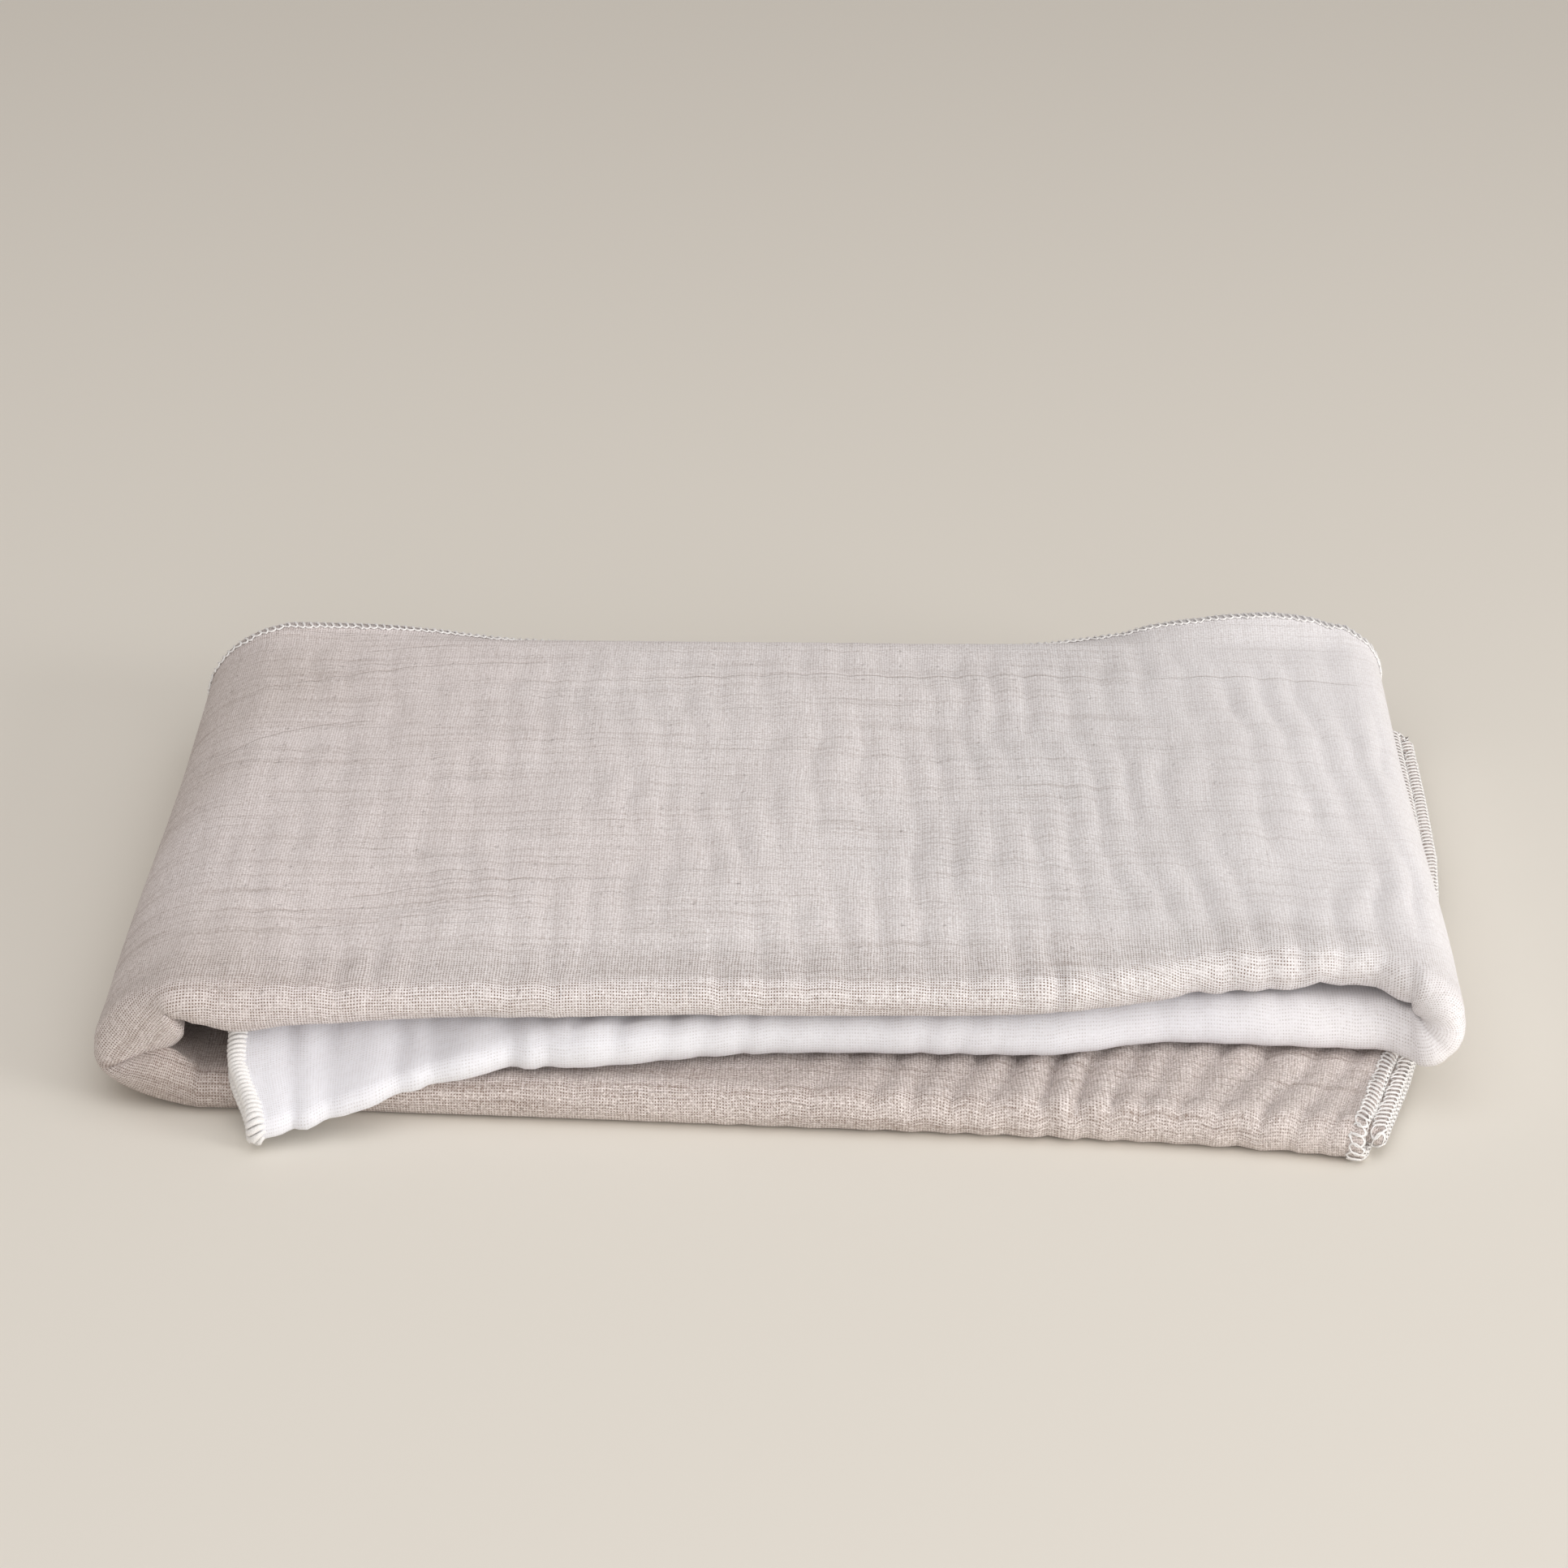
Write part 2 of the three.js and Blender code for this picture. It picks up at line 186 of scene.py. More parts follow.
# The rolled front edge of the top, where it hangs in lobes near the right turn: X and how far each hangs
frontLobes = ((120, 0.0), (128, -0.4), (132.4, 0.8), (137.5, 1.5), (141, 0.6), (145.4, 1.3), (151.5, 1.2),
              (157.7, 1.6), (162.2, -0.2), (165.6, -1.8), (168.3, -0.8), (171.2, -0.1), (174.4, -1.3),
              (178.3, -1.0), (185.7, -0.4), (194, 0.0))

# The loose end in front: soft folds that run down it, X and how far each stands out
flapFolds = ((-161, 0.1), (-156, 0.5), (-150, 0.5), (-144, -0.7), (-139, 0.4), (-132.5, -0.8), (-126, 0.3),
             (-119, 0.7), (-111, -0.7), (-106, 0.3), (-102, -0.6), (-93, 0.7), (-85, 0.4), (-77, -1.0),
             (-72, 0.4), (-67, -0.7), (-60, 0.4), (-50, 0.0))

# How dense the sheet is: the run across it or 0, from, to and how many steps. Across, run 0 is the outer layer,
# 1 the front roll, 2 and 3 the inner layer, 4 the back fold, and 5 and 7 the layers between with the fold 6.
alongSteps = ((0, 0.0, 0.5, 90), (0, 0.5, 1.0, 40), (0, 1.0, 2.0, 44), (0, 2.0, 3.0, 170), (0, 3.0, 4.0, 26),
              (0, 4.0, 4.6, 76), (0, 4.6, 5.0, 58))
acrossSteps = ((0, 0.0, 0.1, 6), (0, 0.1, 0.8, 30), (0, 0.8, 1.0, 12), (1, 0.0, 1.0, 10), (2, 0.0, 1.0, 5),
               (3, 0.0, 0.2, 8), (3, 0.2, 1.0, 4), (4, 0.0, 1.0, 3), (5, 0.0, 1.0, 3), (6, 0.0, 1.0, 3),
               (7, 0.0, 1.0, 4))


def smoothTable(x, rows):
    xs, ys = np.array(rows, float).T
    step = np.diff(xs)
    slope = np.diff(ys) / step
    tangent = np.zeros(len(xs))
    for i in range(1, len(xs) - 1):
        if slope[i - 1] * slope[i] > 0:  # never overshoots, so that the layers stay apart
            a, b = 2 * step[i] + step[i - 1], step[i] + 2 * step[i - 1]
            tangent[i] = (a + b) / (a / slope[i - 1] + b / slope[i])
    tangent[0], tangent[-1] = slope[0], slope[-1]
    k = np.clip(np.searchsorted(xs, x, side="right") - 1, 0, len(step) - 1)
    t = np.clip((x - xs[k]) / step[k], 0, 1)
    return ((1 + 2 * t) * (1 - t) ** 2 * ys[k] + t * (1 - t) ** 2 * step[k] * tangent[k]
            + t * t * (3 - 2 * t) * ys[k + 1] + t * t * (t - 1) * step[k] * tangent[k + 1])


def reachAt(at):
    return {name: smoothTable(at, [(row[0], row[i + 1]) for row in reachRows])
            for i, name in enumerate(reachColumns)}


def gentleWaves(x, y, wavelength, seed):
    dice = np.random.RandomState(seed)
    total = np.zeros(np.broadcast(x, y).shape)
    for i in range(waveSpec["count"]):
        turn = dice.uniform(-waveSpec["turn"], waveSpec["turn"])
        k = 2 * math.pi / (wavelength * dice.uniform(*waveSpec["lengths"]))
        total = total + np.sin(k * (x * math.cos(turn) + y * math.sin(turn)) + dice.uniform(0, 2 * math.pi))
    return total / math.sqrt(waveSpec["count"])


def puffs(along, depth, lower=0.0):
    p = puffSpec
    wander = sum(share * gentleWaves(along, depth, length, seed) for share, length, seed in p["wander"])
    phase = (along + (p["lean"] + p["lowerLean"] * lower) * depth) / p["apart"] + wander
    height = np.abs(np.sin(math.pi * phase)) ** p["round"] - p["sunk"]
    middle, swing, length, seed = p["uneven"]
    uneven = middle + swing * gentleWaves(along, depth, length, seed)
    return height * np.clip(uneven, p["least"] + p["lowerLeast"] * lower, p["most"])


# The outer and the inner face of the folded strip, as X and Z at a place along it
def facesAt(at):
    leg = np.minimum(np.floor(at), 4)
    share = at - leg
    angle = share * math.pi
    c = clothSpec
    leftX, rightX = c["leftEdge"] + c["leftReach"], c["rightEdge"] - c["rightReach"]
    outerX, outerZ, innerX, innerZ = (np.zeros(len(at)) for _ in range(4))
    straight = {0: (c["start"], leftX, 0, panelThickness),
                2: (leftX, rightX, topFace, topFace - panelThickness),
                4: (rightX, c["end"], middleFace, middleFace + panelThickness)}
    for number, (fromX, toX, outer, inner) in straight.items():
        on = leg == number
        outerX[on] = innerX[on] = fromX + (toX - fromX) * share[on]
        outerZ[on], innerZ[on] = outer, inner
    on = leg == 1
    rise = np.where(angle < math.pi / 2, c["leftEdgeZ"], topFace - c["leftEdgeZ"])
    outerX[on] = leftX - c["leftReach"] * np.sin(angle[on])
    outerZ[on] = c["leftEdgeZ"] - (rise * np.cos(angle))[on]
    innerX[on] = leftX - c["hollowReach"] * np.sin(angle[on])
    innerZ[on] = topFace / 2 + (panelThickness - topFace / 2) * np.cos(angle[on])
    on = leg == 3
    middleZ = (topFace + middleFace) / 2
    outerX[on] = rightX + c["rightReach"] * np.sin(angle[on])
    outerZ[on] = middleZ + (topFace - middleZ) * np.cos(angle[on])
    innerX[on] = rightX + c["rightHollow"] * np.sin(angle[on])
    innerZ[on] = middleZ + (topFace - panelThickness - middleZ) * np.cos(angle[on])
    return outerX, outerZ, innerX, innerZ


def pathLength(at):
    fine = np.linspace(0, 5, 2001)
    x, z = facesAt(fine)[:2]
    length = np.concatenate([[0], np.cumsum(np.hypot(np.diff(x), np.diff(z)))])
    return np.interp(at, fine, length)


# Points of the cloth's middle, for places along the strip and for runs and shares across it
def foldCloth(at, runs, shares, crinkle=1.0):
    c, p = clothSpec, puffSpec
    half, pitch = c["thickness"] / 2, layerPitch
    row = {name: value[:, None] for name, value in reachAt(at).items()}
    place = at[:, None]
    along = pathLength(at)[:, None]
    faceX = facesAt(at)[0][:, None]

    # the rolled front edges are ruffled where the puffs end in them
    wave = crinkle * puffs(along, p["edgeLine"] + 0 * along)
    hang = crinkle * smoothTable(faceX, frontLobes) * ((place > p["lobesFrom"]) & (place < p["lobesTo"]))
    onFlap = smoothStep(place, *p["flap"])
    flapWaves = crinkle * smoothTable(faceX, flapFolds) * onFlap
    lip = crinkle * smoothTable(place, p["lip"])
    front = row["front"] - wave * smoothTable(place, p["edgeWaves"]) - p["flapOut"] * flapWaves
    back = row["back"]
    plump = row["plump"] + wave * smoothTable(place, p["rollWaves"])
    innerFront = front + half + pitch + row["tuck"]

    def spread(depth):  # how far apart the outer and the inner layer lie
        rolled = smoothStep(innerFront - c["rollClearance"] - depth, 0, c["rollDepth"])
        hanging = hang * (1 - smoothStep(depth - front, 0, p["lobeDepth"]))
        return pitch * (3 - 2 * row["pinch"] * rolled) + plump * rolled + hanging

    outerRadius = spread(front) / 2
    innerRadius = pitch / 2
    frontBend = front + half + outerRadius
    innerBend = innerFront + innerRadius
    backBend = back - c["backFoldSetback"] - innerRadius
    straight = {
        # run: from, to, and its level in the stack where that is even
        0: (back, frontBend - lip, 0),
        2: (frontBend, innerBend, None),
        3: (innerBend, backBend, None),
        5: (backBend, innerBend, 2 * pitch),
        7: (innerBend, back - c["innerSetback"], pitch),
    }
    depth = np.zeros((len(at), len(runs)))
    into = np.zeros_like(depth)
    inner = np.zeros((1, len(runs)))
    for j, (run, share) in enumerate(zip(runs, shares)):
        turn = share * math.pi
        if run in straight:
            low, high, level = straight[run]
            d = low + (high - low) * share
            level = spread(d) if level is None else level
        elif run == 1:
            d = frontBend - outerRadius * math.sin(turn) - lip * (1 + math.cos(turn)) / 2
            level = outerRadius * (1 - math.cos(turn))
        elif run == 4:
            d = backBend + innerRadius * math.sin(turn)
            level = 2.5 * pitch + innerRadius * math.cos(turn)
        else:
            d = innerBend - innerRadius * math.sin(turn)
            level = 1.5 * pitch + innerRadius * math.cos(turn)
        depth[:, j:j + 1], into[:, j:j + 1] = d, half + level
        inner[0, j] = share if run == 4 else float(run > 4)

    # the stack as a whole is bent, so that its layers stay parallel
    layer = np.clip(into / panelThickness, 0, 1)  # 0 at the outer face, 1 at the inner one
    across = (2 * depth - back - front) / (back - front)
    dropped = np.clip((c["flapFrom"] - depth) / (c["flapFrom"] - front), 0, 1) ** c["flapCurve"]
    into = into - row["drop"] * dropped + row["backDrop"] * smoothStep(depth, c["backDropFrom"], back)
    into = into - row["lift"] * np.maximum(0, 1 - across * across)

    # the face that shows is moved most by the puffs, and the one it lies on least
    outerUp = smoothStep(place, *p["upFrom"]) * (1 - smoothStep(place, *p["upTo"]))
    onTop = smoothStep(place, *p["topFrom"]) * (1 - smoothStep(place, *p["topTo"]))
    shown = np.maximum(onTop, smoothStep(-depth, *p["frontFrom"]))
    moved = crinkle * shown * (outerUp * (p["passedOn"] * layer - 1) + (1 - outerUp) * layer)
    moved = moved * (1 - p["backFlatter"] * onTop * smoothStep(depth, *p["backFrom"]))
    folds = puffs(along, depth, 1 - outerUp) * smoothTable(place, p["heights"]) * (1 - p["flapFlatter"] * onFlap)
    slow = sum(height * gentleWaves(along, depth, length, seed) for height, length, seed in p["slow"])
    into = into + moved * (folds + p["flapUp"] * flapWaves + onTop * slow)

    outerX, outerZ, innerX, innerZ = (v[:, None] for v in facesAt(at))
    creaseX, creaseZ = (smoothTable(place - 1, [(spot[0], spot[i]) for spot in noseCrease]) for i in (1, 2))
    onNose = smoothStep(-depth, *c["noseFrom"]) * ((place > 1) & (place < 2))
    innerX = innerX + (creaseX - innerX) * onNose
    innerZ = innerZ + (creaseZ - innerZ) * onNose
    x = outerX + (innerX - outerX) * into / panelThickness
    z = outerZ + (innerZ - outerZ) * into / panelThickness

    # the ends slant, and the turns are a little askew
    e = endSpec
    startFade = np.maximum(0, 1 - place / e["fade"]) ** 2
    slant = e["furthest"] - e["cut"] * np.maximum(0, (e["from"] - depth) / e["depth"]) ** 2
    endFade = np.maximum(0, 1 - (5 - place) / e["looseFade"]) ** 2
    corner = smoothStep(-depth, -c["frontDropFrom"], -front)
    skew = (c["leftSkew"] * np.maximum(0, 1 - np.abs(place - 1.5)) ** 2
            + c["rightSkew"] * np.maximum(0, 1 - np.abs(place - 3.5)) ** 2)
    x = x + startFade * (slant + e["standOut"] * inner)
    x = x + endFade * (e["looseSlant"] * corner + e["looseSetback"] * inner)
    x = x + skew * smoothStep(depth, *c["skewFrom"])
    return np.stack([x - tableMiddle[0], depth - tableMiddle[1], z], -1)


def stations(rows):
    spots = [(run, low + (high - low) * i / count) for run, low, high, count in rows for i in range(count)]
    return spots + [(rows[-1][0], rows[-1][2])]


# How open the weave is drawn: most on the rolled edges, least where the cloth lies flat. The more open it is, the
# darker its holes and threads are painted with the shade of the ply beneath
drapeSpec = {
    "roll": (0.90, 0.08),  # on the outer layer from this share on, and how fast
    "inner": 0.15,  # and on the inner layer up to this share
    "left": (1.45, 0.42, 0.8),  # the left turn: place, width and how open
    "bottom": (0.3, 0.6),
    # painted shade in the crease into the left nose
    "crease": (1.465, 0.03, 0.2, 0.3),  # the crease into the left nose: place, width, from and how fast
}


def drapeAt(at, run, share):
    d = drapeSpec
    whole = np.ones(len(run))
    rollFrom, rollOver = d["roll"]
    rolled = np.clip(np.select([run == 0, run < 3, run == 3],
                               [(share - rollFrom) / rollOver, whole, 1 - share / d["inner"]]), 0, 1)
    leftPlace, leftWidth, leftOpen = d["left"]
    left = leftOpen * np.exp(-((at[:, None] - leftPlace) / leftWidth) ** 2) * (run < 3)
    openness = np.maximum(rolled, left)
    bottom = d["bottom"][0] + d["bottom"][1] * at[:, None]
    openness = np.where((at[:, None] < 1) & (run > 0), bottom, openness)
    # painted shade along the crease into the left nose
    place, width, creaseFrom, creaseOver = d["crease"]
    noseCreaseShade = np.exp(-((at[:, None] - place) / width) ** 2) * np.select(
        [run == 1, run == 2], [np.clip((share - creaseFrom) / creaseOver, 0, 1), whole])
    return openness, noseCreaseShade


def sheetGrid():
    at = np.array([share for _, share in stations(alongSteps)])
    run, share = (np.array(column) for column in zip(*stations(acrossSteps)))
    bpy.ops.object.select_all(action="DESELECT")
    bpy.ops.mesh.primitive_grid_add(x_subdivisions=len(at) - 1, y_subdivisions=len(run) - 1, size=1)
    sheet = bpy.context.object
    sheet.name = "gauze_sheet"
    mesh = sheet.data
    flat = np.empty(len(mesh.vertices) * 3)
    mesh.vertices.foreach_get("co", flat)
    flat = flat.reshape(-1, 3)
    i = np.rint((flat[:, 0] + 0.5) * (len(at) - 1)).astype(int)
    j = np.rint((flat[:, 1] + 0.5) * (len(run) - 1)).astype(int)
    mesh.vertices.foreach_set("co", (foldCloth(at, run, share)[i, j] * mm).ravel())

    # the cut cloth's own measures, in metres, so that the weave follows it over every fold
    smooth = foldCloth(at, run, share, crinkle=0.0)
    steps = np.linalg.norm(np.diff(smooth, axis=1), axis=2)
    walked = np.concatenate([np.zeros((len(at), 1)), np.cumsum(steps, axis=1)], axis=1)
    middle = np.argmin(np.abs(at - 2.5))
    # the threads run straight over the top third, and along the front fold in the others
    bend = np.argmax(run == 1) + np.sum(run == 1) // 2
    fromFold = walked - walked[:, bend:bend + 1] + walked[middle, bend]
    fromBack = walked - (smooth[:, :1, 1] - smooth[middle, 0, 1])
    byFold = smoothTable(at, ((0, 1), (1.2, 1), (2.0, 0), (3.0, 0), (3.6, 1), (5, 1)))[:, None]
    across = fromFold * byFold + fromBack * (1 - byFold)
    along = pathLength(at)
    openness, noseCreaseShade = drapeAt(at, run, share)
    corners = np.empty(len(mesh.loops), dtype=int)
    mesh.loops.foreach_get("vertex_index", corners)
    cut = mesh.uv_layers[0] if mesh.uv_layers else mesh.uv_layers.new()
    cut.name = "cut"
    # the drape map holds how open the weave is and the painted shade in the crease of the left nose
    drape = mesh.uv_layers.new(name="drape")
    for layer, pair in (("cut", (along[i] * mm, across[i, j] * mm)), ("drape", (openness[i, j], noseCreaseShade[i, j]))):
        mesh.uv_layers[layer].data.foreach_set("uv", np.stack(pair, -1)[corners].ravel())
    mesh.update()
    bpy.ops.object.shade_smooth()
    thick = sheet.modifiers.new("thickness", "SOLIDIFY")
    thick.thickness = clothSpec["shown"] * mm
    thick.offset = 0
    bpy.ops.object.modifier_apply(modifier=thick.name)
    return sheet, walked[middle, -1], along[-1]


sheet, sheetWidth, sheetLength = sheetGrid()
print("cloth folded", len(sheet.data.polygons), "faces,", round(sheetWidth), "by", round(sheetLength), "mm")

# What the word after a node's kind sets
modeNames = {"Math": "operation", "VectorMath": "operation", "MapRange": "interpolation_type",
             "TexNoise": "noise_dimensions", "UVMap": "uv_map", "Mix": "data_type"}


# An input is a value, or the name of an earlier node, with its output where that isn't the first
def addNode(tree, name, kind, inputs=()):
    kind, _, mode = kind.partition(" ")
    node = tree.nodes.new("ShaderNode" + kind)
    node.name = name
    if mode:
        setattr(node, modeNames[kind], mode)
    for socket, value in inputs.items() if isinstance(inputs, dict) else enumerate(inputs):
        if isinstance(value, str):
            source, _, output = value.partition(".")
            output = int(output) if output.isdigit() else output or 0
            tree.links.new(tree.nodes[source].outputs[output], node.inputs[socket])
        else:
            node.inputs[socket].default_value = value
    return node


def setStops(ramp, stops):
    while len(ramp.elements) < len(stops):
        ramp.elements.new(0.5)
    for element, (place, colour) in zip(ramp.elements, stops):
        element.position = place
        element.color = linear(colour)


gauzeSpec = {
    # long thin creases on the top third: from X, Y to X, Y on the table, how far they bow, how dark their painted
    # shade is
    "creases": ((-146, 109, -109, 115, 1, 0.8), (-189, 73, -73, 98, 9, 0.8), (-189, 24, -132, 52, 9, 0.9),
                (-72, 84, 126, 89, 2.5, 1.0), (122, 89, 200, 88, 4, 1.0), (5, 1, 121, 4, 0.5, 0.6),
                (-139, -76, -40, -62, 3.5, 0.8), (-172, -85, -57, -74, 0.5, 0.7), (-167, -98, -57, -81, 2, 0.6)),
    "creaseWidth": 0.8,  # mm
    "warp": 0.86, "weft": 0.80,  # mm between threads, a touch coarser than the real 0.8 and 0.7 so that they show
    "wobble": 1.1,  # mm that the threads stray
    # painted shade: the dark of the shaded ply seen through the holes
    "hole": "#7f6a5c",
    # the dye along the cloth, from the bottom's right end to the loose end, with painted shade: darker at 0.30
    # under the left nose, and lighter at 0.69 to lift the shaded right turn
    "dye": ((0.00, "#dbd1cd"), (0.16, "#d9cfcb"), (0.30, "#cdc2bd"), (0.345, "#ded5d2"), (0.39, "#e9e1e0"),
            (0.52, "#ede8e8"), (0.61, "#e8e5e6"), (0.69, "#f3f1f3"), (0.77, "#e8e8ed"), (0.88, "#e9eaef"),
            (1.0, "#f0f1f7")),
    "whiteFrom": (0.66, 0.92),  # m along the cloth, where the dye and the contrast of the threads fade out
    "bottomTo": (0.33, 0.42),  # m, the bottom third shows its threads most
    "relief": 0.22,  # mm
    # name, how many spots per metre along and across the cloth, detail and roughness
    "noises": (("patchyHoles", 420, 420, 1.0, 0.5), ("rows", 16, 520, 3.0, 0.65), ("fineCreases", 5, 150, 2.0, 0.6),
               ("creasePatches", 30, 60, 1.0, 0.5), ("tackPatches", 110, 110, 1.0, 0.5),
               ("columns", 900, 45, 2.0, 0.6), ("fuzz", 900, 1400, 2.0, 0.7), ("patchyDye", 9, 9, 2.0, 0.5)),
}


def makeGauze():
    g = gauzeSpec
    whiteFrom, whiteTo = g["whiteFrom"]
    # the tiny dark holes of the weave are painted shade
    material = bpy.data.materials.new("cotton_double_gauze")  # open plain weave: matte, soft, tiny dark holes
    material.use_nodes = True
    tree = material.node_tree
    tree.nodes.clear()
    for row in (
            ("cut", "UVMap cut"),
            ("drape", "UVMap drape"),
            ("metres", "SeparateXYZ", ("cut",)),
            # the drape map's Y is painted shade in the crease of the left nose
            ("open", "SeparateXYZ", ("drape",)),  # X: how open the weave is, Y: the crease in the left nose
            ("stray", "TexNoise 2D", {"Vector": "cut", "Scale": 60.0, "Detail": 2.0}),
            ("pull", "VectorMath SUBTRACT", ("stray.Color", (0.5, 0.5, 0.5))),
            ("moved", "VectorMath MULTIPLY_ADD", ("pull", (g["wobble"] * mm, g["wobble"] * mm, 0), "cut")),
            ("thread", "SeparateXYZ", ("moved",))):
        addNode(tree, *row)
    for name, alongScale, acrossScale, detail, roughness in g["noises"]:
        addNode(tree, name + "Place", "VectorMath MULTIPLY", ("moved", (alongScale, acrossScale, 1.0)))
        addNode(tree, name, "TexNoise 2D",
                {"Vector": name + "Place", "Scale": 1.0, "Detail": detail, "Roughness": roughness})
    # 1 on a thread or between two rows of tacks, 0 between the threads or on a row
    for name, axis, pitch in (("warp", "X", g["warp"]), ("weft", "Y", g["weft"]),
                              ("tackAlong", "X", puffSpec["apart"]), ("tackAcross", "Y", puffSpec["apart"])):
        addNode(tree, name + "Turn", "Math MULTIPLY", ("thread." + axis, math.pi / (pitch * mm)))
        addNode(tree, name + "Sine", "Math SINE", (name + "Turn",))
        addNode(tree, name, "Math ABSOLUTE", (name + "Sine",))
    for row in (
            # a hole lies where both threads are away, and shows most where the weave is open; it is painted with
            # the dark of the shaded ply beneath
            ("offWarp", "Math SUBTRACT", (1.0, "warp")),
            ("offWeft", "Math SUBTRACT", (1.0, "weft")),
            ("hole", "Math MULTIPLY", ("offWarp", "offWeft")),
            ("holeSeen", "MapRange SMOOTHSTEP", ("hole", 0.10, 0.45, 0.0, 1.0)),
            ("holePatches", "MapRange SMOOTHSTEP", ("patchyHoles", 0.25, 0.7, 0.35, 1.15)),
            ("holeUneven", "Math MULTIPLY", ("holeSeen", "holePatches")),
            ("dyed", "MapRange SMOOTHSTEP", ("metres.X", whiteFrom, whiteTo, 1.0, 0.18)),
            ("holeDyed", "Math MULTIPLY", ("holeUneven", "dyed")),
            ("holeOpen", "Math MULTIPLY_ADD", ("open.X", 0.95, 0.38)),
            ("holeShare", "Math MULTIPLY", ("holeDyed", "holeOpen")),
            # short thin creases that run along the strip, bumped and painted with dark lines of shade
            ("creaseSide", "Math SUBTRACT", ("fineCreases", 0.5)),
            ("creaseOff", "Math ABSOLUTE", ("creaseSide",)),
            ("creaseLine", "MapRange SMOOTHSTEP", ("creaseOff", 0.0, 0.02, 1.0, 0.0)),
            ("creaseSeen", "MapRange SMOOTHSTEP", ("creasePatches", 0.4, 0.62, 0.0, 0.55)),
            ("creaseUneven", "Math MULTIPLY", ("creaseLine", "creaseSeen")),
            ("creaseDyed", "MapRange SMOOTHSTEP", ("metres.X", whiteFrom, whiteTo, 1.0, 0.12)),
            ("crease", "Math MULTIPLY", ("creaseUneven", "creaseDyed")),
            # faint dimples where the stitches hold the two plies together, bumped and painted with a little shade
            ("tackOff", "Math ADD", ("tackAlong", "tackAcross")),
            ("tackSpot", "MapRange SMOOTHSTEP", ("tackOff", 0.06, 0.34, 1.0, 0.0)),
            ("tackSeen", "MapRange SMOOTHSTEP", ("tackPatches", 0.42, 0.6, 0.0, 1.0)),
            ("tackUneven", "Math MULTIPLY", ("tackSpot", "tackSeen")),
            ("tackDyed", "MapRange SMOOTHSTEP", ("metres.X", whiteFrom, whiteTo, 1.0, 0.0)),
            ("dimple", "Math MULTIPLY", ("tackUneven", "tackDyed"))):
        addNode(tree, *row)

    # the long creases are drawn one by one as bumps and lines of painted shade, each a parabola between its two
    # ends
    topStart = pathLength(np.array([2.0]))[0] - (clothSpec["leftEdge"] + clothSpec["leftReach"])
    backLine = reachAt(np.array([2.5]))["back"][0]
    crease = "crease"
    for i, (x0, y0, x1, y1, bow, dark) in enumerate(g["creases"]):
        name = f"crease{i}"
        for row in (
                ("Share", "Math MULTIPLY_ADD", ("thread.X", 1 / ((x1 - x0) * mm), -(topStart + x0) / (x1 - x0))),
                ("Bow", "Math MULTIPLY_ADD", (name + "Share", 4 * bow * mm, (y0 - y1 - 4 * bow) * mm)),
                ("Line", "Math MULTIPLY_ADD", (name + "Share", name + "Bow", (backLine - y0) * mm)),
                ("Side", "Math SUBTRACT", ("thread.Y", name + "Line")),
                ("Off", "Math ABSOLUTE", (name + "Side",)),
                ("Near", "MapRange SMOOTHSTEP", (name + "Off", 0.0, g["creaseWidth"] * mm, dark, 0.0)),
                ("Middle", "Math SUBTRACT", (name + "Share", 0.5)),
                ("End", "Math ABSOLUTE", (name + "Middle",)),
                ("Fade", "MapRange SMOOTHSTEP", (name + "End", 0.5, 0.36, 0.0, 1.0)),
                ("Drawn", "Math MULTIPLY", (name + "Near", name + "Fade")),
                ("All", "Math MAXIMUM", (crease, name + "Drawn"))):
            addNode(tree, name + row[0], *row[1:])
        crease = name + "All"

    # the shade of the threads, 1 where nothing darkens them: painted shade in the dark lines of the fine crinkles
    # along the rows, and uneven tone across the threads and in the fuzz
    for row in (
            ("rowShade", "MapRange SMOOTHSTEP", ("rows", 0.3, 0.52, -0.11, 0.03)),
            ("columnShade", "Math MULTIPLY_ADD", ("columns", 0.2, -0.1)),
            ("threadShade", "Math ADD", ("rowShade", "columnShade")),
            ("fuzzShade", "Math MULTIPLY_ADD", ("fuzz", 0.8, -0.4)),
            ("clothShade", "Math ADD", ("threadShade", "fuzzShade")),
            ("bottomShade", "MapRange SMOOTHSTEP", ("metres.X", *g["bottomTo"], 1.7, 1.0)),
            ("unevenShade", "Math MULTIPLY", ("clothShade", "bottomShade")),
            ("shade", "Math MULTIPLY_ADD", ("unevenShade", "dyed", 1.0)),
            ("openDyed", "Math MULTIPLY", ("open.X", "dyed"))):
        addNode(tree, *row)
    # painted shade: darker in the creases, the dimples and the crease of the left nose, and where the weave opens
    # and the shaded ply beneath shows through it
    shade = "shade"
    for name, source, darker in (("creased", crease, -0.2), ("dimpled", "dimple", -0.08),
                                 ("hollowed", "open.Y", -0.4), ("opened", "openDyed", -0.07)):
        addNode(tree, name + "Share", "Math MULTIPLY_ADD", (source, darker, 1.0))
        addNode(tree, name, "Math MULTIPLY", (shade, name + "Share"))
        shade = name
